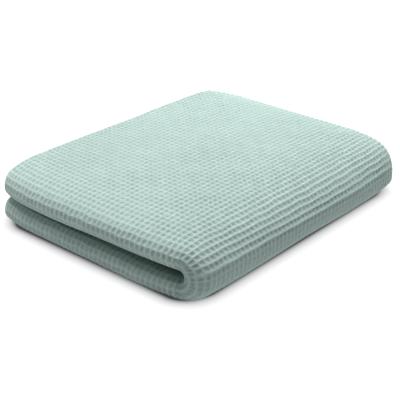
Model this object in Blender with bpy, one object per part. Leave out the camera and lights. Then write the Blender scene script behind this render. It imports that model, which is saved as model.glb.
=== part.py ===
"""A waffle-weave bedspread folded into a thick rectangular package.

One hemmed woven panel is folded in half five times, twice across its width and
three times across its length, and lies flat with its last bend along one long
side. The solid is that one sheet, which runs back and forth through all 32
layers. Metres, +Z up. The origin is under the middle of the package, X runs
along its longer side, and the last bend faces -Y.
"""

import math
from collections import namedtuple

import bpy
import numpy as np

# The flat panel.
PANEL_WIDTH = 1.50
PANEL_LENGTH = 2.34
CLOTH_THICKNESS = 0.00124
LAYER_PITCH = 0.00156         # from one layer to the next, before the stack is pressed

# Each fold lifts one half of the stack and turns it over onto the other half.
#   direction     the side of the panel that is halved
#   layers        layers of cloth in the stack that is folded
#   hollow        radius of the empty space left inside the bend
#   roundness     1 for a half round bend, less for one with fuller shoulders
#   steps         straight steps round the bend, an even number
#   crease_stays  whether the half with the last crease in this direction stays below
Fold = namedtuple("Fold", "direction layers hollow roundness steps crease_stays")
FOLDS = (
    Fold("width", 1, 0.0, 1.0, 4, False),
    Fold("length", 2, 0.0, 1.0, 4, False),
    Fold("length", 4, 0.0, 0.85, 6, True),
    Fold("width", 8, 0.0, 0.92, 6, True),
    Fold("length", 16, 0.0045, 0.80, 8, False),
)

# Rows of points on each flat run of the package, as shares of the run from its bend.
FLAT_ROWS = (0.0, 0.12, 0.5, 0.88, 1.0)

# How the package lies: the lower and the upper half loosen away from the last bend
# until they meet at the far side, and the whole has a soft crown and drawn-in corners.
MEETING_GAP = 0.0008          # left between the halves where they meet
PRESSING = 0.16               # share by which the lower half is thinner, the upper thicker
CROWN = 0.0045                # rise of the middle of the top above its edges
CROWN_POWER = 2.5
CORNER_DRAW_X = 0.0115        # the corners draw in this much along each direction
CORNER_DRAW_Y = 0.0048
CORNER_POWER = 5
SIDE_BOW_X = 0.0008           # the middle of the short sides stands out this much
SIDE_BOW_Y = -0.0015          # and that of the long sides draws in
FOOT_SPREAD = 0.0030          # the weight spreads the lowest edges outwards this much
FOOT_HEIGHT = 0.010
FOOT_POWER = 8

# Unevenness of hand folding: slow waves that shift the layers sideways.
#   amount, then the wavelengths along the other side and up the stack, and the phase
Wave = namedtuple("Wave", "amount along up phase")
WAVES_X = (Wave(0.0006, 0.210, 0.090, 0.4), Wave(0.0002, 0.085, 0.034, 2.1))
WAVES_Y = (Wave(0.0006, 0.290, 0.120, 1.3), Wave(0.0002, 0.120, 0.040, 0.2))

# The upper layers slump towards the round sides.
#   axis and sign of the side, the drop at the middle of the side, the share of it
#   that is left at the side's ends, and how far in it starts
Slump = namedtuple("Slump", "axis sign drop at_ends width")
SLUMPS = (Slump(0, -1, 0.0070, 1.0, 0.045), Slump(1, -1, 0.0150, 0.55, 0.060))

# Two corners are rounder than the others.
#   signs of the corner, the drop of its top, and the lift of its foot
Corner = namedtuple("Corner", "x y drop lift")
CORNERS = (Corner(-1, 1, 0.0030, 0.0), Corner(1, -1, 0.0030, 0.0035))
CORNER_ROUNDING = 6           # power of the shares of the half sizes

MINT = (0.49, 0.64, 0.59, 1.0)
CLOTH_ROUGHNESS = 0.9


def clear_scene():
    """Remove every object that the new file starts with."""
    for thing in list(bpy.data.objects):
        bpy.data.objects.remove(thing, do_unlink=True)


def stack_height(fold):
    return fold.layers * LAYER_PITCH


def bend_reach(fold):
    """Half the length of cloth that the bend takes up, at the middle of the stack."""
    return math.pi / 2 * (fold.hollow + stack_height(fold) / 2)


def fold_lengths():
    """For each fold, the length of stack before it and the flat length behind its bend."""
    left = {"width": PANEL_WIDTH, "length": PANEL_LENGTH}
    lengths = []
    for fold in FOLDS:
        before = left[fold.direction]
        behind = before / 2 - bend_reach(fold)
        lengths.append((before, behind))
        left[fold.direction] = behind
    return lengths


def rows_of_points(direction):
    """Places across the flat panel of the rows of points, unfolded from the package.

    The package's own rows are opened out one fold at a time, last fold first, so
    that the rows of all layers lie exactly over each other once folded.
    """
    rows = None
    for fold, (before, behind) in zip(reversed(FOLDS), reversed(fold_lengths())):
        if fold.direction != direction:
            continue
        if rows is None:
            rows = behind * np.array(FLAT_ROWS)
        reach = bend_reach(fold)
        round_bend = reach * np.linspace(-1, 1, fold.steps + 1)[1:-1]
        from_crease = np.concatenate((-reach - rows, round_bend, reach + rows))
        rows = np.sort(before / 2 + from_crease)
    return rows


def fold_over(from_crease, height, fold):
    """Fold a stack at its crease, with its upper side inside.

    Cloth at a positive distance from the crease stays below. Near the crease it
    goes round a half circle about the middle of the bend, at a radius that grows
    from the hollow to the stack's outer side, and beyond it lies upside down on
    top. Sine and cosine raised to the fold's roundness fill out the half circle.
    Returns the distance behind the bend and the new height.
    """
    reach = bend_reach(fold)
    middle = fold.hollow + stack_height(fold)
    turn = (1 - np.clip(from_crease / reach, -1, 1)) * math.pi / 2
    radius = middle - height
    outward = np.abs(np.sin(turn)) ** fold.roundness
    downward = np.sign(np.cos(turn)) * np.abs(np.cos(turn)) ** fold.roundness
    behind = np.maximum(np.abs(from_crease) - reach, 0) - radius * outward
    return behind, middle - radius * downward


def folded_side(height):
    """One side of the sheet carried through all the folds, as (x, y, z) on a grid."""
    across, along = np.meshgrid(rows_of_points("width"), rows_of_points("length"), indexing="ij")
    place = {"width": across, "length": along}
    height = np.full_like(across, height)
    for fold, (before, _) in zip(FOLDS, fold_lengths()):
        from_crease = place[fold.direction] - before / 2
        if fold.crease_stays:
            from_crease = -from_crease
        place[fold.direction], height = fold_over(from_crease, height, fold)
    return np.stack((place["width"], place["length"], height), axis=-1)


def wave_shift(waves, along, up):
    """Sum of the waves at a place along a side and a height up the stack."""
    return sum(w.amount * np.sin(2 * math.pi * (along / w.along + up / w.up) + w.phase) for w in waves)


def slump_and_lift(x, y, half):
    """Drop of the top and lift of the foot at a place in plan.

    Towards each slumped side the drop grows with the square of the way in from
    its start, and it eases off along the side to its ends. Two such drops meet as
    the root of the sum of their squares. At a rounder corner the drop and the lift
    grow with a power of x times y, each as a share of its half size.
    """
    drop = np.zeros_like(x)
    lift = np.zeros_like(x)
    for slump in SLUMPS:
        toward, beside = (x, y) if slump.axis == 0 else (y, x)
        from_side = half[slump.axis] - slump.sign * toward
        along = np.clip(np.abs(beside) / half[1 - slump.axis], 0, 1)
        depth = slump.drop * (1 - (1 - slump.at_ends) * along ** 2)
        drop = np.hypot(drop, depth * np.clip(1 - from_side / slump.width, 0, 1) ** 2)
    for corner in CORNERS:
        to_x = np.clip(corner.x * x / half[0], 0, 1)
        to_y = np.clip(corner.y * y / half[1], 0, 1)
        rounding = (to_x * to_y) ** CORNER_ROUNDING
        drop = drop + corner.drop * rounding
        lift = lift + corner.lift * rounding
    return drop, lift


def let_settle(points, middle, half):
    """Let the tight package loosen, press down, crown, slump and pull in at its corners."""
    last = FOLDS[-1]
    pack = stack_height(last)
    total = 2 * (pack + last.hollow)
    loosening = (last.hollow - MEETING_GAP / 2) / pack
    x, y, z = np.moveaxis(points, -1, 0)

    # Heights, from the floor in the lower half and from the top in the upper one.
    away = np.clip(y / fold_lengths()[-1][1], 0, 1)
    from_outside = np.minimum(z, total - z) * (1 + loosening * away)
    upper = z > total / 2
    z = np.where(upper, total - from_outside * (1 + PRESSING), from_outside * (1 - PRESSING))

    # Plan, as shares of the half sizes.
    x = x - middle[0]
    y = y - middle[1]
    share_x = np.clip(np.abs(x) / half[0], 0, 1)
    share_y = np.clip(np.abs(y) / half[1], 0, 1)
    foot = FOOT_SPREAD * np.exp(-z / FOOT_HEIGHT)
    out_x = SIDE_BOW_X * (1 - share_y ** 2) - CORNER_DRAW_X * share_y ** CORNER_POWER
    out_y = SIDE_BOW_Y * (1 - share_x ** 2) - CORNER_DRAW_Y * share_x ** CORNER_POWER
    out_x = out_x + foot * share_x ** FOOT_POWER
    out_y = out_y + foot * share_y ** FOOT_POWER
    new_x = x + out_x * x / half[0] + wave_shift(WAVES_X, y, z)
    new_y = y + out_y * y / half[1] + wave_shift(WAVES_Y, x, z)
    crown = CROWN * (1 - share_x ** CROWN_POWER) * (1 - share_y ** CROWN_POWER)
    drop, lift = slump_and_lift(x, y, half)
    rise = crown * z / total - drop * np.clip(2 * z / total - 1, 0, 1) + lift * np.clip(1 - 2 * z / total, 0, 1)
    return np.stack((new_x, new_y, z + rise), axis=-1)


def sheet_points():
    """Both sides of the settled sheet, its underside side first, set on the origin."""
    gap = LAYER_PITCH - CLOTH_THICKNESS
    sides = np.stack([folded_side(height) for height in (gap / 2, gap / 2 + CLOTH_THICKNESS)])
    lowest = sides.min(axis=(0, 1, 2))
    highest = sides.max(axis=(0, 1, 2))
    sides[..., 2] -= lowest[2]
    sides = let_settle(sides, (lowest + highest) / 2, (highest - lowest) / 2)
    lowest = sides.min(axis=(0, 1, 2))
    highest = sides.max(axis=(0, 1, 2))
    sides[..., :2] -= ((lowest + highest) / 2)[:2]
    return sides


def side_triangles(index, parallel):
    """Two triangles for each cell of a grid of point numbers.

    The dividing line of a cell follows the way its layer runs, so that the
    lines of neighbouring layers stay parallel and the layers never touch.
    """
    a, b, c, d = index[:-1, :-1], index[1:, :-1], index[1:, 1:], index[:-1, 1:]
    first = np.where(parallel[..., None], np.stack((a, b, c), -1), np.stack((a, b, d), -1))
    second = np.where(parallel[..., None], np.stack((a, c, d), -1), np.stack((b, c, d), -1))
    return np.concatenate((first.reshape(-1, 3), second.reshape(-1, 3)))


def edge_triangles(under, over):
    """The narrow wall round the hem, from the rim of one side to that of the other."""
    def rim(index):
        return np.concatenate((index[:-1, 0], index[-1, :-1], index[:0:-1, -1], index[0, :0:-1]))

    low, high = rim(under), rim(over)
    low_next, high_next = np.roll(low, -1), np.roll(high, -1)
    return np.concatenate((np.stack((low, low_next, high_next), -1), np.stack((low, high_next, high), -1)))


def signed_volume(points, triangles):
    a, b, c = (points[triangles[:, k]] for k in range(3))
    return np.einsum("ij,ij->", a, np.cross(b, c)) / 6


def sheet_mesh():
    """Points and outward-facing triangles of the folded sheet."""
    sides = sheet_points()
    index = np.arange(sides[..., 0].size).reshape(sides.shape[:3])
    runs_x = np.diff(sides[0, :, 0, 0]) > 0
    runs_y = np.diff(sides[0, 0, :, 1]) > 0
    parallel = runs_x[:, None] == runs_y[None, :]
    under = side_triangles(index[0], parallel)[:, ::-1]
    over = side_triangles(index[1], parallel)
    triangles = np.concatenate((under, over, edge_triangles(index[0], index[1])))
    points = sides.reshape(-1, 3)
    if signed_volume(points, triangles) < 0:
        triangles = triangles[:, ::-1]
    return points, triangles


def cotton_material():
    """Matt pale green cotton."""
    cotton = bpy.data.materials.new("mint_waffle_cotton")
    cotton.use_nodes = True
    shader = cotton.node_tree.nodes["Principled BSDF"]
    shader.inputs["Base Color"].default_value = MINT
    shader.inputs["Roughness"].default_value = CLOTH_ROUGHNESS
    shader.inputs["Metallic"].default_value = 0.0
    cotton.diffuse_color = MINT
    return cotton


def make_bedspread():
    points, triangles = sheet_mesh()
    mesh = bpy.data.meshes.new("bedspread")
    mesh.from_pydata(points.tolist(), [], triangles.tolist())
    mesh.materials.append(cotton_material())
    mesh.shade_smooth()
    mesh.set_sharp_from_angle(angle=math.radians(60))
    bedspread = bpy.data.objects.new("bedspread", mesh)
    bpy.context.scene.collection.objects.link(bedspread)
    return bedspread


clear_scene()
make_bedspread()
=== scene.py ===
"""A waffle-weave bedspread folded into a thick rectangular package.

One hemmed cotton panel is folded in half five times, twice across its width and
three times across its length, and lies with its last bend along one long side.
Three pieces of that one sheet show here, and they meet out of sight inside the
folds: the upper and the lower wrap, whose woven cells are modelled, and the
layers between them. A place on the sheet is given by its distance across the
panel's width, its distance along the length and its height in the flat cloth,
and it is carried through the folds to its place in the package.
Metres, +Z up, with the origin under the middle of the package.
"""

import math
from collections import namedtuple

import bpy
import numpy as np
from mathutils import Matrix, Vector


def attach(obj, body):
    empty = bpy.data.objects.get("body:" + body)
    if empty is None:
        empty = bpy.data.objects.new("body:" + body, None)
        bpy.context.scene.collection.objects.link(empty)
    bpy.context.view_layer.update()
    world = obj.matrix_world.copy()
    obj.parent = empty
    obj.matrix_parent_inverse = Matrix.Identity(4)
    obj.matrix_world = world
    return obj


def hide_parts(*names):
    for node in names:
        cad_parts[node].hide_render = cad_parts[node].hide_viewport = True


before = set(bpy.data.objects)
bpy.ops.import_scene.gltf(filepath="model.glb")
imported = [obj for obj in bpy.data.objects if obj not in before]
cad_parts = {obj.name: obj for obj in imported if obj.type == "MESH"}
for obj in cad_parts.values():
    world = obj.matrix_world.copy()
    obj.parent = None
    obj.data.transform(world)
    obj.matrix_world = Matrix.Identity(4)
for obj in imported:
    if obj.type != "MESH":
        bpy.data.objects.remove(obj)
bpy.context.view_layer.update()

# ---------------------------------------------------------------- the folded panel

PANEL_WIDTH = 1.50
PANEL_LENGTH = 2.34
CLOTH_THICKNESS = 0.00124
LAYER_PITCH = 0.00156         # from one layer to the next, before the stack is pressed

# Each fold lifts one half of the stack and turns it over onto the other half.
#   direction     the side of the panel that is halved
#   layers        layers of cloth in the stack that is folded
#   hollow        radius of the empty space left inside the bend
#   roundness     1 for a half round bend, less for one with fuller shoulders
#   steps         straight steps round the bend in the layers within, an even number
#   crease_stays  whether the half with the last crease in this direction stays below
Fold = namedtuple("Fold", "direction layers hollow roundness steps crease_stays")
FOLDS = (
    Fold("width", 1, 0.0, 1.0, 8, False),
    Fold("length", 2, 0.0, 1.0, 8, False),
    Fold("length", 4, 0.0, 0.85, 12, True),
    Fold("width", 8, 0.0, 0.92, 12, True),
    Fold("length", 16, 0.0045, 0.80, 20, False),
)

# How the package lies: the lower and the upper half loosen away from the last bend
# until they meet at the far side, and the whole has a soft crown and drawn-in corners.
MEETING_GAP = 0.0008          # left between the halves where they meet
PRESSING = 0.16               # share by which the lower half is thinner, the upper thicker
CROWN = 0.0045                # rise of the middle of the top above its edges
CROWN_POWER = 2.5
CORNER_DRAW_X = 0.0115        # the corners draw in this much along each direction
CORNER_DRAW_Y = 0.0048
CORNER_POWER = 5
SIDE_BOW_X = 0.0008           # the middle of the short sides stands out this much
SIDE_BOW_Y = -0.0015          # and that of the long sides draws in
FOOT_SPREAD = 0.0030          # the weight spreads the lowest edges outwards this much
FOOT_HEIGHT = 0.010
FOOT_POWER = 8

# The upper layers slump towards the round sides.
#   axis and sign of the side, the drop at the middle of the side, the share of it
#   that is left at the side's ends, and how far in it starts
Slump = namedtuple("Slump", "axis sign drop at_ends width")
SLUMPS = (Slump(0, -1, 0.0070, 1.0, 0.045), Slump(1, -1, 0.0150, 0.55, 0.060))

# Two corners are rounder than the others.
#   signs of the corner, the drop of its top, the lift of its foot
Corner = namedtuple("Corner", "x y drop lift")
CORNERS = (Corner(-1, 1, 0.0030, 0.0), Corner(1, -1, 0.0030, 0.0035))
CORNER_ROUNDING = 6           # power of the shares of the half sizes

# Unevenness of hand folding: slow waves that shift the layers sideways.
#   amount, then the wavelengths along the other side and up the stack, and the phase
Wave = namedtuple("Wave", "amount along up phase")
WAVES_X = (Wave(0.0006, 0.210, 0.090, 0.4), Wave(0.0002, 0.085, 0.034, 2.1))
WAVES_Y = (Wave(0.0006, 0.290, 0.120, 1.3), Wave(0.0002, 0.120, 0.040, 0.2))

OUTER_FACE = (LAYER_PITCH - CLOTH_THICKNESS) / 2      # heights of the cloth's two faces
INNER_FACE = OUTER_FACE + CLOTH_THICKNESS


def stack_height(fold):
    """Height of the stack that is folded, all its layers together."""
    return fold.layers * LAYER_PITCH


def bend_reach(fold):
    """Half the length of cloth that the bend takes up, at the middle of the stack."""
    return math.pi / 2 * (fold.hollow + stack_height(fold) / 2)


def fold_lengths():
    """For each fold, the length of stack before it and the flat length behind its bend."""
    left = {"width": PANEL_WIDTH, "length": PANEL_LENGTH}
    lengths = []
    for fold in FOLDS:
        before = left[fold.direction]
        behind = before / 2 - bend_reach(fold)
        lengths.append((before, behind))
        left[fold.direction] = behind
    return lengths


def rows_of_layers(direction, shares):
    """Places across the flat panel of the rows of points, unfolded from the package.

    The package's own rows, at the given shares of its flat run, are opened out one
    fold at a time, last fold first, so that all layers have them over each other.
    """
    rows = None
    for fold, (before, behind) in zip(reversed(FOLDS), reversed(fold_lengths())):
        if fold.direction != direction:
            continue
        if rows is None:
            rows = behind * np.array(shares)
        reach = bend_reach(fold)
        round_bend = reach * np.linspace(-1, 1, fold.steps + 1)[1:-1]
        from_crease = np.concatenate((-reach - rows, round_bend, reach + rows))
        rows = np.sort(before / 2 + from_crease)
    return rows


def fold_over(from_crease, height, fold):
    """Fold a stack at its crease, with its upper side inside.

    Cloth at a positive distance from the crease stays below. Near the crease it
    goes round a half circle about the middle of the bend, at a radius that grows
    from the hollow to the stack's outer side, and beyond it lies upside down on
    top. Sine and cosine raised to the fold's roundness fill out the half circle.
    Returns the distance behind the bend and the new height.
    """
    reach = bend_reach(fold)
    middle = fold.hollow + stack_height(fold)
    turn = (1 - np.clip(from_crease / reach, -1, 1)) * math.pi / 2
    radius = middle - height
    outward = np.abs(np.sin(turn)) ** fold.roundness
    downward = np.sign(np.cos(turn)) * np.abs(np.cos(turn)) ** fold.roundness
    behind = np.maximum(np.abs(from_crease) - reach, 0) - radius * outward
    return behind, middle - radius * downward


def fold_up(across, along, height):
    """Carry places on the flat panel through all five folds, as (x, y, z)."""
    place = {"width": across, "length": along}
    for fold, (before, _) in zip(FOLDS, fold_lengths()):
        from_crease = place[fold.direction] - before / 2
        if fold.crease_stays:
            from_crease = -from_crease
        place[fold.direction], height = fold_over(from_crease, height, fold)
    return np.stack((place["width"], place["length"], height), axis=-1)


def wave_shift(waves, along, up):
    """Sum of the waves at a place along a side and a height up the stack."""
    return sum(wave.amount * np.sin(2 * math.pi * (along / wave.along + up / wave.up) + wave.phase)
               for wave in waves)


def slump_and_lift(x, y, half):
    """Drop of the top and lift of the foot at a place in plan.

    Towards each slumped side the drop grows with the square of the way in from
    its start, and it eases off along the side to its ends. Two such drops meet as
    the root of the sum of their squares. At a rounder corner the drop and the lift
    grow with a power of x times y, each as a share of its half size.
    """
    drop = np.zeros_like(x)
    lift = np.zeros_like(x)
    for slump in SLUMPS:
        toward, beside = (x, y) if slump.axis == 0 else (y, x)
        from_side = half[slump.axis] - slump.sign * toward
        along = np.clip(np.abs(beside) / half[1 - slump.axis], 0, 1)
        depth = slump.drop * (1 - (1 - slump.at_ends) * along ** 2)
        drop = np.hypot(drop, depth * np.clip(1 - from_side / slump.width, 0, 1) ** 2)
    for corner in CORNERS:
        to_x = np.clip(corner.x * x / half[0], 0, 1)
        to_y = np.clip(corner.y * y / half[1], 0, 1)
        rounding = (to_x * to_y) ** CORNER_ROUNDING
        drop = drop + corner.drop * rounding
        lift = lift + corner.lift * rounding
    return drop, lift


def let_settle(points, middle, half):
    """Let the tight package loosen, press down, crown, slump and pull in at its corners.

    Away from the last bend both halves grow thicker until they nearly meet. Then the
    lower one gets thinner by a share, and the upper one thicker by it. In plan a place
    moves out by its share of the half size times a sum: a bow that falls with the
    square of the other share, less a power of that share, plus the foot's spread, an
    exponential of the height times a power of its own share. The waves shift it too.
    The crown lifts it in proportion to its height. The drop grows from nothing at the
    middle height to the top, and the lift from there to the foot.
    """
    last = FOLDS[-1]
    pack = stack_height(last)
    total = 2 * (pack + last.hollow)
    loosening = (last.hollow - MEETING_GAP / 2) / pack
    x, y, z = np.moveaxis(points, -1, 0)

    # Heights, from the floor in the lower half and from the top in the upper one.
    away = np.clip(y / fold_lengths()[-1][1], 0, 1)
    from_outside = np.minimum(z, total - z) * (1 + loosening * away)
    upper = z > total / 2
    z = np.where(upper, total - from_outside * (1 + PRESSING), from_outside * (1 - PRESSING))

    # Plan, as shares of the half sizes.
    x = x - middle[0]
    y = y - middle[1]
    share_x = np.clip(np.abs(x) / half[0], 0, 1)
    share_y = np.clip(np.abs(y) / half[1], 0, 1)
    foot = FOOT_SPREAD * np.exp(-z / FOOT_HEIGHT)
    out_x = SIDE_BOW_X * (1 - share_y ** 2) - CORNER_DRAW_X * share_y ** CORNER_POWER
    out_y = SIDE_BOW_Y * (1 - share_x ** 2) - CORNER_DRAW_Y * share_x ** CORNER_POWER
    out_x = out_x + foot * share_x ** FOOT_POWER
    out_y = out_y + foot * share_y ** FOOT_POWER
    new_x = x + out_x * x / half[0] + wave_shift(WAVES_X, y, z)
    new_y = y + out_y * y / half[1] + wave_shift(WAVES_Y, x, z)
    crown = CROWN * (1 - share_x ** CROWN_POWER) * (1 - share_y ** CROWN_POWER)
    drop, lift = slump_and_lift(x, y, half)
    rise = crown * z / total
    rise = rise - drop * np.clip(2 * z / total - 1, 0, 1)
    rise = rise + lift * np.clip(1 - 2 * z / total, 0, 1)
    return np.stack((new_x, new_y, z + rise), axis=-1)


def corners(points):
    """Lowest and highest corner of any array of points."""
    flat = points.reshape(-1, 3)
    return flat.min(axis=0), flat.max(axis=0)


def package_maker():
    """The function that takes places on the panel to their places in the package.

    The sheet's bare shape, on a coarse grid, gives the middle that it settles
    about, and how far the settled package moves to stand over the origin.
    """
    shares = (0.0, 0.12, 0.5, 0.88, 1.0)
    rows_across = rows_of_layers("width", shares)
    rows_along = rows_of_layers("length", shares)
    across, along = np.meshgrid(rows_across, rows_along, indexing="ij")
    tight = np.stack([fold_up(across, along, np.full_like(across, face))
                      for face in (OUTER_FACE, INNER_FACE)])
    low, high = corners(tight)
    drop = np.array((0, 0, low[2]))
    middle, half = (low + high) / 2, (high - low) / 2
    low, high = corners(let_settle(tight - drop, middle, half))
    shift = np.array((*(low + high)[:2] / 2, 0))

    def in_package(across, along, height):
        """Places in the package, none of them below the floor."""
        points = let_settle(fold_up(across, along, height) - drop, middle, half) - shift
        points[..., 2] = np.maximum(points[..., 2], 0)
        return points

    return in_package


in_package = package_maker()

# ---------------------------------------------------------------- the woven cells

CELL_X = 0.0073               # from ridge to ridge, measured on the outside of the wrap
CELL_Y = 0.0068
CELL_DEPTH = 0.0021           # from the tops of the ridges to the bottoms of the cells
RIDGE_SOFTNESS = 0.10         # how round the ridges are
RIDGE_LEVEL = 0.45            # share of that depth that lies within the plain sheet
CROSS_RIDGE = 0.80            # height of the ridges along Y, as a share of those along X
TAUT_CELLS = (-6.6, 0.9)      # the cells of the last bend's face, pulled taut, counted from the bend
TAUT_EDGE = 1.5               # cells over which the cloth grows taut
TAUT_LOSS = 0.58              # share of the ridges along X that is lost there
PINCH_START = -1.5            # it is pinched from this many cells past the middle of the round end
PINCH_CELLS = 7.0             # for this many cells to either side of the last bend
PINCH_LOSS = 0.65             # share of the ridges along X that is lost there
SAMPLES = (0.0, 0.09, 0.33, 0.67, 0.91)     # rows of points within each cell
INNER_SAMPLES = (0.0, 0.33)   # those of them that the plain inner face has too
LIP = 0.040                   # how far the wrap follows the sheet into the gap
LIP_FADE = 0.020              # the last part of it, over which the cells fade out
TUCK = 0.012                  # how far it follows it past a hidden crease

# How deep the cells are, as a share of the full depth: far from the bends, and what is
# added to that at each bend, with the length over which it fades.
Fading = namedtuple("Fading", "share length")
OPEN_SHARE = 0.68
AT_LAST_BEND = Fading(0.42, 0.07)
AT_ROUND_END = Fading(-0.12, 0.04)
AT_BACK = Fading(0.28, 0.10)
TAUT_SHALLOW = 0.60           # share of the depth that is lost where the cloth is taut,
ROLL_SHALLOW = 0.50           # on the underside of the upper half's roll,
GAP_SHALLOW = 0.35            # in the gap between the halves
PRESSED_SHALLOW = 0.55        # and at the pressed edges of the +X end,
PRESSED_WIDTH = 0.028         # from which that loss fades over this length
GAP_LEVEL = 0.90              # the ridge level in the gap
ROLL_ALONG = 0.030            # the roll's underside sets in over this length from the last bend
ROLL_ACROSS = 0.012           # and, round the end, over this length,
ROLL_BEFORE = 0.004           # from this far before the end's middle
CREASE_FADE = 0.5             # cells begin this share of its reach before a hidden crease
BACK_FADE = 1.4               # and end this share of its reach past the back of the upper half
UNEVEN_DEPTH = 0.12           # share by which the depth wanders
UNEVEN_PLACE = 0.04           # share of a cell by which the ridges wander
NOISE_LENGTHS = (3.1, 4.7, 7.9, 12.3, 19.0)     # wavelengths of that wandering, in cells
NOISE_TURN = 2.4              # angle from one wave's direction to the next, in radians
NOISE_PHASE = 5               # a wave's phase is this many times the angle of its direction
RULER_MARKS = 4000            # places along the panel at which a ruler is measured

Crease = namedtuple("Crease", "place reach")


def crease_at(direction, share, fold):
    """A crease's place on the flat panel, as a share of it, and half its bend's length."""
    size = {"width": PANEL_WIDTH, "length": PANEL_LENGTH}[direction]
    return Crease(size * share, bend_reach(fold))


END_CREASE = crease_at("width", 1 / 2, FOLDS[0])          # the folded edges at the +X end
END_BULGE = crease_at("width", 3 / 4, FOLDS[3])           # round the -X end of each half
LOWER_CREASE = crease_at("length", 1 / 2, FOLDS[1])       # lower half, +Y side
LAST_BEND = crease_at("length", 5 / 8, FOLDS[4])          # the round -Y side
UPPER_BULGE = crease_at("length", 3 / 4, FOLDS[2])        # upper half, +Y side


def smooth_step(value):
    """0 below 0, 1 above 1, and an S-shaped rise between."""
    share = np.clip(value, 0, 1)
    return share * share * (3 - 2 * share)


def outer_lengths(direction, start, stop, other):
    """Matching lists of panel place and true length along the wrap's outer face."""
    place = np.linspace(start, stop, RULER_MARKS)
    other = np.full_like(place, other)
    height = np.full_like(place, OUTER_FACE)
    if direction == "width":
        points = in_package(place, other, height)
    else:
        points = in_package(other, place, height)
    steps = np.linalg.norm(np.diff(points, axis=0), axis=1)
    return place, np.concatenate(((0,), np.cumsum(steps)))


class Ruler:
    """Counts woven cells along the outer face of the wrap, from a zero place.

    It runs along one direction of the panel from start to stop, at the given place in
    the other direction.
    """

    def __init__(self, direction, start, stop, zero, other, cell):
        self.place, length = outer_lengths(direction, start, stop, other)
        self.cells = (length - np.interp(zero, self.place, length)) / cell

    def to_panel(self, cells):
        return np.interp(cells, self.cells, self.place)

    def to_cells(self, place):
        return np.interp(place, self.place, self.cells)

    def rows(self, start, stop):
        """Sampling rows between two panel places, in cells, both ends on a ridge."""
        first, last = np.round(self.to_cells(np.array((start, stop)))).astype(int)
        rows = (np.arange(first, last)[:, None] + np.array(SAMPLES)).ravel()
        return np.unique(np.round(np.concatenate((rows, (last,))), 6))


MIDDLE_ACROSS = END_CREASE.place + 0.20       # on the panel, near the middle of the package's top
MIDDLE_ALONG = UPPER_BULGE.place - 0.15
RULER_SPARE = 0.05            # the rulers run this far past the creases and the back
RULER_SPARE_GAP = 0.12        # and this far past the round end, into the gap
RULER_X = Ruler("width", END_CREASE.place - RULER_SPARE, END_BULGE.place + RULER_SPARE_GAP,
                MIDDLE_ACROSS, MIDDLE_ALONG, CELL_X)
RULER_Y = Ruler("length", LOWER_CREASE.place - RULER_SPARE, UPPER_BULGE.place + RULER_SPARE,
                LAST_BEND.place, MIDDLE_ACROSS, CELL_Y)
FIRST_PINCHED = float(RULER_X.to_cells(END_BULGE.place)) + PINCH_START


def slope(cells):
    """Fall from the ridges at whole numbers: a softened size of a sine, 0 on them and 1 midway."""
    soft = RIDGE_SOFTNESS
    return (np.sqrt(np.sin(np.pi * cells) ** 2 + soft ** 2) - soft) / (math.sqrt(1 + soft ** 2) - soft)


def weave_height(u, v, ridges_x, ridges_y):
    """Height of the waffle surface, from 0 at a cell's bottom to 1 on the ridges round it.

    The ridges along X stand on whole counts along the panel and those along Y on whole
    counts across it, each with its own share of the height.
    """
    return 1 - (1 - ridges_y * (1 - slope(u))) * (1 - ridges_x * (1 - slope(v)))


def slow_noise(u, v, seed):
    """Smooth unevenness, mostly between -1 and 1: a sum of sines in turned directions."""
    angles = seed + NOISE_TURN * np.arange(len(NOISE_LENGTHS))
    waves = [np.sin(2 * math.pi * (u * math.cos(angle) + v * math.sin(angle)) / length + NOISE_PHASE * angle)
             for angle, length in zip(angles, NOISE_LENGTHS)]
    return sum(waves) / (len(waves) / 2)


def faded(distance, fading):
    """The fading's share, times the exponential of minus the distance in its lengths."""
    return fading.share * np.exp(-np.abs(distance) / fading.length)


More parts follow.
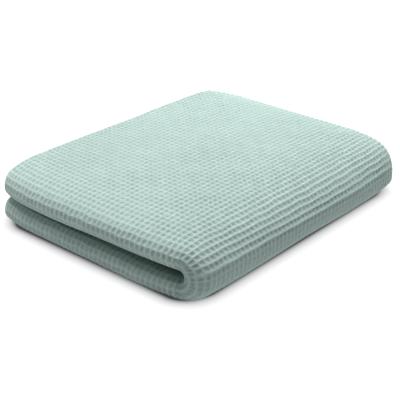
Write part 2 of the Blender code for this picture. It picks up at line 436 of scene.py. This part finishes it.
def relief(across, along, u, v):
    """How far the woven surface stands out of the plain sheet, in metres.

    The waffle height less its level, times the depth. The depth is a product of the
    full one and of shares: it fades out at the hidden creases, past the back and at
    the end of the lip, grows exponentially towards the last bend and the back,
    shrinks so towards the round end, and is less where the cloth is taut, under the
    roll, in the gap and near the pressed edges. It also wanders a little. Taut or
    pinched cloth has lower ridges along X, and in the gap most of the relief lies
    within the sheet.
    """
    shown = smooth_step((across - END_CREASE.place) / END_CREASE.reach + CREASE_FADE)
    shown = shown * smooth_step((along - LOWER_CREASE.place) / LOWER_CREASE.reach + CREASE_FADE)
    shown = shown * smooth_step(BACK_FADE + (UPPER_BULGE.place - along) / UPPER_BULGE.reach)
    shown = shown * smooth_step((END_BULGE.place + END_BULGE.reach + LIP - across) / LIP_FADE)
    in_gap = smooth_step((across - END_BULGE.place) / END_BULGE.reach)
    taut = smooth_step((TAUT_CELLS[1] - v) / TAUT_EDGE) * smooth_step((v - TAUT_CELLS[0]) / TAUT_EDGE)
    pinched = smooth_step((u - FIRST_PINCHED) / TAUT_EDGE)
    pinched = pinched * smooth_step((PINCH_CELLS - np.abs(v)) / TAUT_EDGE)
    pressed = smooth_step(1 - (across - END_CREASE.place) / PRESSED_WIDTH)
    under_roll = smooth_step((along - LAST_BEND.place) / ROLL_ALONG)
    under_roll = under_roll * smooth_step((across - END_BULGE.place + ROLL_BEFORE) / ROLL_ACROSS)

    open_share = OPEN_SHARE + faded(along - LAST_BEND.place, AT_LAST_BEND)
    open_share = open_share + faded(across - END_BULGE.place + END_BULGE.reach, AT_ROUND_END)
    open_share = open_share + faded(along - UPPER_BULGE.place, AT_BACK)
    open_share = open_share * (1 - TAUT_SHALLOW * taut) * (1 - ROLL_SHALLOW * under_roll)
    depth = CELL_DEPTH * shown * (1 - PRESSED_SHALLOW * pressed) * open_share
    depth = depth * (1 - GAP_SHALLOW * in_gap) * (1 + UNEVEN_DEPTH * slow_noise(u, v, 0.7))
    level = RIDGE_LEVEL + (GAP_LEVEL - RIDGE_LEVEL) * in_gap
    ridges_y = CROSS_RIDGE + (1 - CROSS_RIDGE) * taut
    ridges_x = 1 - np.maximum(TAUT_LOSS * taut, PINCH_LOSS * pinched)
    return depth * (weave_height(u, v, ridges_x, ridges_y) - level)


def wrap_surface(u, v, face):
    """The wrap as a function of two counts of cells, u across and v along the panel.

    The counts give a place on the panel, shifted a little so that the ridges are as
    uneven as woven ones. The outer face has the relief, the inner face is plain.
    """
    across = RULER_X.to_panel(u) + CELL_X * UNEVEN_PLACE * slow_noise(u, v, 2.0)
    along = RULER_Y.to_panel(v) + CELL_Y * UNEVEN_PLACE * slow_noise(u, v, 4.1)
    height = np.full_like(across, face)
    if face == OUTER_FACE:
        height = height - relief(across, along, u, v)
    return in_package(across, along, height)


def wrap_normals(u, v):
    """Directions square to the outer face, from the cross product of its two slopes."""
    step = 0.02
    over_u = wrap_surface(u + step, v, OUTER_FACE) - wrap_surface(u - step, v, OUTER_FACE)
    over_v = wrap_surface(u, v + step, OUTER_FACE) - wrap_surface(u, v - step, OUTER_FACE)
    normals = np.cross(over_v, over_u)
    return normals / np.maximum(np.linalg.norm(normals, axis=-1, keepdims=True), 1e-12)


# ---------------------------------------------------------------- meshes

SHARP_ANGLE = math.radians(50)          # edges of the layers that turn more than this look sharp


def quads_of(index):
    """The four-sided faces of a grid of point numbers."""
    return np.stack((index[:-1, :-1], index[:-1, 1:], index[1:, 1:], index[1:, :-1]), -1).reshape(-1, 4)


def zip_strip(fine, coarse, kept):
    """Triangles between a fine rim and a coarse one whose points face the kept fine ones.

    Each fine step is joined to the coarse point nearest to it, and each coarse step
    to the fine point half way along.
    """
    change = (kept[:-1] + kept[1:] + 1) // 2
    owner = np.searchsorted(change, np.arange(len(fine) - 1), side="right")
    on_fine = np.stack((fine[:-1], fine[1:], coarse[owner]), -1)
    on_coarse = np.stack((coarse[:-1], fine[change], coarse[1:]), -1)
    return np.concatenate((on_fine, on_coarse))


def new_piece(name, points, faces, cells, material, normals=None):
    """A mesh object with smooth faces and its cell counts as a UV map."""
    mesh = bpy.data.meshes.new(name)
    mesh.from_pydata(points.tolist(), [], faces)
    corner_points = np.empty(len(mesh.loops), np.int32)
    mesh.loops.foreach_get("vertex_index", corner_points)
    uv_map = mesh.uv_layers.new(name="cells")
    uv_map.uv.foreach_set("vector", cells[corner_points].astype(np.float32).ravel())
    mesh.shade_smooth()
    if normals is None:
        mesh.set_sharp_from_angle(angle=SHARP_ANGLE)
    else:
        mesh.normals_split_custom_set_from_vertices(normals.tolist())
    mesh.materials.append(material)
    piece = bpy.data.objects.new(name, mesh)
    bpy.context.scene.collection.objects.link(piece)
    return piece


def wrap_piece(name, rows_u, rows_v, material):
    """One half of the outer wrap: a finely woven outer face over a plain inner one."""
    u, v = np.meshgrid(rows_u, rows_v, indexing="ij")
    outer = wrap_surface(u, v, OUTER_FACE)
    normals = wrap_normals(u, v)
    kept_u = np.flatnonzero(np.isin(np.round(rows_u % 1, 3), INNER_SAMPLES))
    kept_v = np.flatnonzero(np.isin(np.round(rows_v % 1, 3), INNER_SAMPLES))
    inner_u, inner_v = np.meshgrid(rows_u[kept_u], rows_v[kept_v], indexing="ij")
    inner = wrap_surface(inner_u, inner_v, INNER_FACE)

    top = np.arange(outer[..., 0].size).reshape(outer.shape[:2])
    under = top.size + np.arange(inner[..., 0].size).reshape(inner.shape[:2])
    # Strips close the four rims, two of them turned so that they face outwards too.
    strips = (
        zip_strip(top[0, :], under[0, :], kept_v)[:, ::-1],
        zip_strip(top[-1, :], under[-1, :], kept_v),
        zip_strip(top[:, 0], under[:, 0], kept_u),
        zip_strip(top[:, -1], under[:, -1], kept_u)[:, ::-1],
    )
    faces = quads_of(top).tolist() + quads_of(under)[:, ::-1].tolist() + np.concatenate(strips).tolist()
    points = np.concatenate((outer.reshape(-1, 3), inner.reshape(-1, 3)))
    cells = np.concatenate([np.stack(counts, -1).reshape(-1, 2) for counts in ((u, v), (inner_u, inner_v))])
    inner_normals = -normals[np.ix_(kept_u, kept_v)]
    normals = np.concatenate((normals.reshape(-1, 3), inner_normals.reshape(-1, 3)))
    return new_piece(name, points, faces, cells, material, normals)


def layer_triangles(index, kept, parallel):
    """Two triangles for each kept cell of a grid of point numbers.

    The dividing line of a cell follows the way its layer runs, so that the
    lines of neighbouring layers stay parallel.
    """
    a, b, c, d = index[:-1, :-1], index[1:, :-1], index[1:, 1:], index[:-1, 1:]
    first = np.where(parallel[..., None], np.stack((a, b, c), -1), np.stack((a, b, d), -1))
    second = np.where(parallel[..., None], np.stack((a, c, d), -1), np.stack((b, c, d), -1))
    return np.concatenate((first[kept], second[kept]))


def wall_quads(under, over, kept):
    """The narrow walls between the two faces, wherever kept cells end.

    There is one at each step, in either direction, between a kept cell and one that
    isn't. Its corners are turned round where it would face inwards.
    """
    raised = over[0, 0] - under[0, 0]           # from a point's number to that of the point above it
    padded = np.pad(kept, 1)
    across_step = np.diff(padded.astype(int), axis=0)[:, 1:-1]
    along_step = np.diff(padded.astype(int), axis=1)[1:-1, :]
    walls = []
    for low, high, step, outward in (
        (under[:, :-1], under[:, 1:], across_step, -1),
        (under[:-1, :], under[1:, :], along_step, 1),
    ):
        for sign in (1, -1):
            here = step == sign
            wall = np.stack((low[here], high[here], high[here] + raised, low[here] + raised), -1)
            walls.append(wall if sign == outward else wall[:, ::-1])
    return np.concatenate(walls)


def inner_layers(name, wrap_across, wrap_along, material):
    """The rest of the sheet: both faces on the rows of the layers, but for the wrap."""
    shares = (0.0, 0.015, 0.05, 0.12, 0.3, 0.5, 0.7, 0.88, 0.95, 0.985, 1.0)
    rows_across = np.unique(np.concatenate((rows_of_layers("width", shares), wrap_across)))
    rows_along = np.unique(np.concatenate((rows_of_layers("length", shares), wrap_along)))
    across, along = np.meshgrid(rows_across, rows_along, indexing="ij")
    faces = [in_package(across, along, np.full_like(across, face)) for face in (OUTER_FACE, INNER_FACE)]
    under = np.arange(across.size).reshape(across.shape)
    over = under + across.size

    middle_across = (rows_across[:-1] + rows_across[1:]) / 2
    middle_along = (rows_along[:-1] + rows_along[1:]) / 2
    in_wrap_across = (middle_across > wrap_across[0]) & (middle_across < wrap_across[1])
    in_wrap_along = (middle_along > wrap_along[0]) & (middle_along < wrap_along[1])
    kept = ~(in_wrap_across[:, None] & in_wrap_along[None, :])

    tight = fold_up(across, along, np.full_like(across, OUTER_FACE))
    runs_x = np.diff(tight[:, 0, 0]) > 0
    runs_y = np.diff(tight[0, :, 1]) > 0
    parallel = runs_x[:, None] == runs_y[None, :]
    outer_side = layer_triangles(under, kept, parallel)[:, ::-1]
    inner_side = layer_triangles(over, kept, parallel)
    triangles = np.concatenate((outer_side, inner_side))
    walls = wall_quads(under, over, kept)
    polygons = triangles.tolist() + walls.tolist()
    points = np.stack(faces).reshape(-1, 3)
    cells = np.tile(np.stack((across / CELL_X, along / CELL_Y), -1).reshape(-1, 2), (2, 1))

    used = np.unique(np.concatenate((triangles.ravel(), walls.ravel())))
    number = np.full(len(points), -1)
    number[used] = np.arange(len(used))
    polygons = [[int(number[k]) for k in polygon] for polygon in polygons]
    return new_piece(name, points[used], polygons, cells[used], material)


# ---------------------------------------------------------------- materials

class Value:
    """What a node puts out, so that shader maths reads as Python expressions."""

    def __init__(self, nodes, socket):
        self.nodes = nodes
        self.socket = socket

    def maths(self, operation, *others):
        return self.nodes.add("ShaderNodeMath", {"operation": operation},
                              dict(enumerate((self, *others))))

    def clamped(self):
        return self.nodes.add("ShaderNodeClamp", inputs={"Value": self})

    def __add__(self, other):
        return self.maths("ADD", other)

    __radd__ = __add__

    def __mul__(self, other):
        return self.maths("MULTIPLY", other)

    __rmul__ = __mul__

    def __sub__(self, other):
        return self.maths("SUBTRACT", other)

    def __rsub__(self, other):
        return self.nodes.add("ShaderNodeMath", {"operation": "SUBTRACT"}, {0: other, 1: self})


class Nodes:
    """A tree of shader nodes, of a material or of the room."""

    def __init__(self, tree):
        self.tree = tree

    def add(self, kind, settings=None, inputs=None, output=0):
        """A node of that type, with its settings, then values or links in its sockets."""
        node = self.tree.nodes.new(kind)
        for key, setting in (settings or {}).items():
            setattr(node, key, setting)
        self.fill(node, inputs or {})
        return Value(self, node.outputs[output])

    def fill(self, node, inputs):
        for key, content in inputs.items():
            if isinstance(content, Value):
                self.tree.links.new(content.socket, node.inputs[key])
            else:
                node.inputs[key].default_value = content

    def parts(self, vector):
        """The three numbers of a vector."""
        apart = self.add("ShaderNodeSeparateXYZ", inputs={"Vector": vector})
        return [Value(self, socket) for socket in apart.socket.node.outputs]

    def mix(self, share, first, second):
        """The first colour where the share is 0, the second where it is 1."""
        return self.add("ShaderNodeMix", {"data_type": "RGBA"}, {0: share, 6: first, 7: second}, output=2)


def new_material(name):
    """A new material, its nodes and its shader."""
    material = bpy.data.materials.new(name)
    material.use_nodes = True
    return material, Nodes(material.node_tree), material.node_tree.nodes["Principled BSDF"]


# The cells are darker partly as painted shade in the pockets, partly for the ridges' paler fuzz.
RIDGE_COLOUR = (0.412, 0.520, 0.490, 1)
CELL_COLOUR_AND_SHADE = (0.297, 0.400, 0.373, 1)
YARNS_IN_CELL = 9
YARN_HEIGHT = 0.00012         # bump of the yarns, in metres,
FIBRE_HEIGHT = 0.00060        # of the fibres
CELL_HEIGHT = 0.0011          # and of cells that aren't modelled
FIBRES = {"Scale": 480.0, "Detail": 3.0, "Roughness": 0.6}
MOTTLE = {"Scale": 22.0, "Detail": 4.0, "Roughness": 0.55}


def ridge(cells):
    """1 on the whole counts and 0 midway: the same softened sine as the modelled ridges."""
    soft = RIDGE_SOFTNESS
    sine = (cells * math.pi).maths("SINE")
    fall = (sine * sine + soft ** 2).maths("SQRT") - soft
    return 1 - fall * (1 / (math.sqrt(1 + soft ** 2) - soft))


def edge_share(cells):
    """0 below 0 and 1 above the taut edge, straight between."""
    return (cells * (1 / TAUT_EDGE)).clamped()


def waffle_cotton(name, modelled):
    """Matt mint cotton: paler fuzzy ridges, cells darkened partly by painted shade,
    yarns and a soft bloom of fibres.

    The ridges are found from the cell counts in the UV map, and are fainter where the
    modelled ones are lower. Cloth whose cells aren't modelled has them as bump.
    """
    material, nodes, shader = new_material(name)
    u, v, _ = nodes.parts(nodes.add("ShaderNodeUVMap", {"uv_map": "cells"}))
    taut = edge_share(TAUT_CELLS[1] - v) * edge_share(v - TAUT_CELLS[0])
    pinched = edge_share(u - FIRST_PINCHED) * edge_share(PINCH_CELLS - v.maths("ABSOLUTE"))
    ridge_u = ridge(u) * (CROSS_RIDGE + (1 - CROSS_RIDGE) * taut)
    ridge_v = ridge(v) * (1 - (TAUT_LOSS * taut).maths("MAXIMUM", PINCH_LOSS * pinched))
    weave = 1 - (1 - ridge_u) * (1 - ridge_v)

    yarns_u = (u * (2 * math.pi * YARNS_IN_CELL)).maths("SINE")
    yarns_v = (v * (2 * math.pi * YARNS_IN_CELL)).maths("SINE")
    yarns = ridge_u * yarns_u + ridge_v * yarns_v + (1 - weave) * yarns_u * yarns_v

    place = nodes.add("ShaderNodeTexCoord", output="Object")
    fibres = nodes.add("ShaderNodeTexNoise", {"noise_dimensions": "3D"}, {"Vector": place, **FIBRES})
    mottle = nodes.add("ShaderNodeTexNoise", {"noise_dimensions": "3D"}, {"Vector": place, **MOTTLE})

    # paler ridges over cells darkened partly by painted shade
    colour = nodes.mix(weave * weave, CELL_COLOUR_AND_SHADE, RIDGE_COLOUR)
    shade = 0.81 + 0.30 * fibres + 0.03 * mottle + 0.02 * yarns
    colour = nodes.add("ShaderNodeVectorMath", {"operation": "SCALE"}, {0: colour, "Scale": shade})
    height = YARN_HEIGHT * yarns + FIBRE_HEIGHT * fibres
    if not modelled:
        height = height + CELL_HEIGHT * weave
    bump = nodes.add("ShaderNodeBump", inputs={"Strength": 1.0, "Distance": 1.0, "Height": height})
    nodes.fill(shader, {
        "Base Color": colour,
        "Roughness": 0.80 + 0.14 * fibres,
        "Normal": bump,
        "Sheen Weight": 0.10,
        "Sheen Roughness": 0.5,
        "Specular IOR Level": 0.25,
    })
    return material


# ---------------------------------------------------------------- the pieces

woven = waffle_cotton("waffle_cotton_woven", modelled=True)
plain = waffle_cotton("waffle_cotton_layers", modelled=False)

rows_u = RULER_X.rows(END_CREASE.place - TUCK, END_BULGE.place + END_BULGE.reach + LIP)
rows_lower = RULER_Y.rows(LOWER_CREASE.place - TUCK, LAST_BEND.place)
rows_upper = RULER_Y.rows(LAST_BEND.place, UPPER_BULGE.place + UPPER_BULGE.reach + TUCK)

upper_wrap = wrap_piece("upper_wrap", rows_u, rows_upper, woven)
lower_wrap = wrap_piece("lower_wrap", rows_u, rows_lower, woven)
wrap_across = RULER_X.to_panel(rows_u[[0, -1]])
wrap_along = RULER_Y.to_panel(np.array((rows_lower[0], rows_upper[-1])))
layers = inner_layers("layers_within", wrap_across, wrap_along, plain)

bend_place = LAST_BEND.place
wrap_along[1] - bend_place
bend_place - wrap_along[0]
for piece in (upper_wrap, lower_wrap, layers):
    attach(piece, "root")
    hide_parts("bedspread")

# ---------------------------------------------------------------- floor, light and camera

FLOOR_SIZE = 12.0
FLOOR_COLOUR = (0.10, 0.10, 0.10, 1)
FLOOR_GLOW = 0.97             # the white table is lit from beneath
SHADOW_FOOT = (0.1874, 0.1367)           # half sizes of the place that the package covers, round which a shadow is painted
FLOOR_PAINTED_SHADOW = (0.05, 0.048, 0.06, 1)      # the painted shadow: the glow that is left right beside it
PAINTED_SHADOW_REACH = (0.0083, 0.0062)      # how fast the painted shadow fades outside it, along X and Y
PAINTED_SHADOW_ROUND = 4.8         # how round its corners are, in those reaches
FLOOR_DROP = 0.0002           # how far the table lies under the package
WHITE = (1, 1, 1, 1)


def pale_floor():
    """A lit white table with a contact shadow painted into its glow close around the package.

    The painted shadow falls off as the exponential of the distance from a rounded rectangle,
    counted in reaches.
    """
    side = FLOOR_SIZE / 2
    points = [(x, y, -FLOOR_DROP) for x, y in ((-side, -side), (side, -side), (side, side), (-side, side))]
    mesh = bpy.data.meshes.new("floor")
    mesh.from_pydata(points, [], [(0, 1, 2, 3)])
    material, nodes, shader = new_material("pale_floor")
    places = nodes.parts(nodes.add("ShaderNodeTexCoord", output="Object"))
    beyond = []
    for place, half, reach in zip(places, SHADOW_FOOT, PAINTED_SHADOW_REACH):
        outside = place.maths("ABSOLUTE") * (1 / reach) - (half / reach - PAINTED_SHADOW_ROUND)
        beyond.append(outside.maths("MAXIMUM", 0.0))
    distance = (beyond[0] * beyond[0] + beyond[1] * beyond[1]).maths("SQRT") - PAINTED_SHADOW_ROUND
    # a contact shadow painted into the glow, darkest right beside the package
    painted_shadow = (distance.maths("MAXIMUM", 0.0) * -1.0).maths("EXPONENT")
    nodes.fill(shader, {
        "Base Color": FLOOR_COLOUR,
        "Roughness": 0.9,
        "Specular IOR Level": 0.1,
        "Emission Color": nodes.mix(painted_shadow, WHITE, FLOOR_PAINTED_SHADOW),
        "Emission Strength": FLOOR_GLOW,
    })
    mesh.materials.append(material)
    floor = bpy.data.objects.new("floor", mesh)
    bpy.context.scene.collection.objects.link(floor)


def aimed(thing, place, target, roll=0.0):
    """Put a lamp or the camera at a place, looking at a target, turned about its axis."""
    thing.location = place
    look = (Vector(target) - Vector(place)).to_track_quat("-Z", "Y").to_matrix()
    thing.rotation_euler = (look @ Matrix.Rotation(roll, 3, "Z")).to_euler()


# The soft lamps: name, place, side and power in watts.
LAMPS = (
    ("overhead", (0.08, 0.06, 1.7), 1.0, 41),
    ("back", (0.0, 0.95, 1.15), 0.4, 8.5),
    ("back_right", (0.46, 0.30, 0.42), 0.3, 2.0),
    ("back_left", (-0.45, 0.50, 0.35), 0.3, 1.0),
    ("right", (1.4, -1.0, 0.6), 0.5, 4.6),
)


def soft_light(name, place, size, power):
    """A white square lamp that looks at the middle of the package's foot."""
    lamp = bpy.data.lights.new(name, "AREA")
    lamp.shape = "SQUARE"
    lamp.size = size
    lamp.energy = power
    light = bpy.data.objects.new(name, lamp)
    bpy.context.scene.collection.objects.link(light)
    aimed(light, place, (0, 0, 0))


ROOM_LIGHT = 0.02             # how strongly the room lights the cloth
ROOM_WHITE = 1.05             # and how bright it is to look at


def studio_world():
    """A room that is as white as the table to look at, and lights the cloth faintly."""
    world = bpy.data.worlds.new("studio")
    world.use_nodes = True
    nodes = Nodes(world.node_tree)
    looked_at = nodes.add("ShaderNodeLightPath", output="Is Camera Ray")
    brightness = nodes.add("ShaderNodeMapRange", inputs={
        "Value": looked_at, "To Min": ROOM_LIGHT, "To Max": ROOM_WHITE})
    nodes.fill(world.node_tree.nodes["Background"], {"Color": WHITE, "Strength": brightness})
    bpy.context.scene.world = world


CAMERA_AZIMUTH = math.radians(-50.771)
CAMERA_ELEVATION = math.radians(25.756)
CAMERA_ROLL = math.radians(1.489)
CAMERA_DISTANCE = 1.129
CAMERA_TARGET = np.array((-0.0472, -0.0305, 0.0304))
SENSOR_WIDTH = 36.0
FOCAL_LENGTH = 92.07


def add_camera():
    """A camera on a sphere about its target: azimuth 0 looks along +Y, elevation is upwards."""
    level = math.cos(CAMERA_ELEVATION)
    back = np.array((math.sin(CAMERA_AZIMUTH) * level, -math.cos(CAMERA_AZIMUTH) * level,
                     math.sin(CAMERA_ELEVATION)))
    lens = bpy.data.cameras.new("camera")
    lens.sensor_width = SENSOR_WIDTH
    lens.lens = FOCAL_LENGTH
    lens.clip_start = 0.01
    camera = bpy.data.objects.new("camera", lens)
    bpy.context.scene.collection.objects.link(camera)
    aimed(camera, CAMERA_TARGET + CAMERA_DISTANCE * back, CAMERA_TARGET, CAMERA_ROLL)
    bpy.context.scene.camera = camera


pale_floor()
studio_world()
for name, place, size, power in LAMPS:
    soft_light(name, place, size, power)
add_camera()
bpy.context.scene.view_settings.view_transform = "Standard"
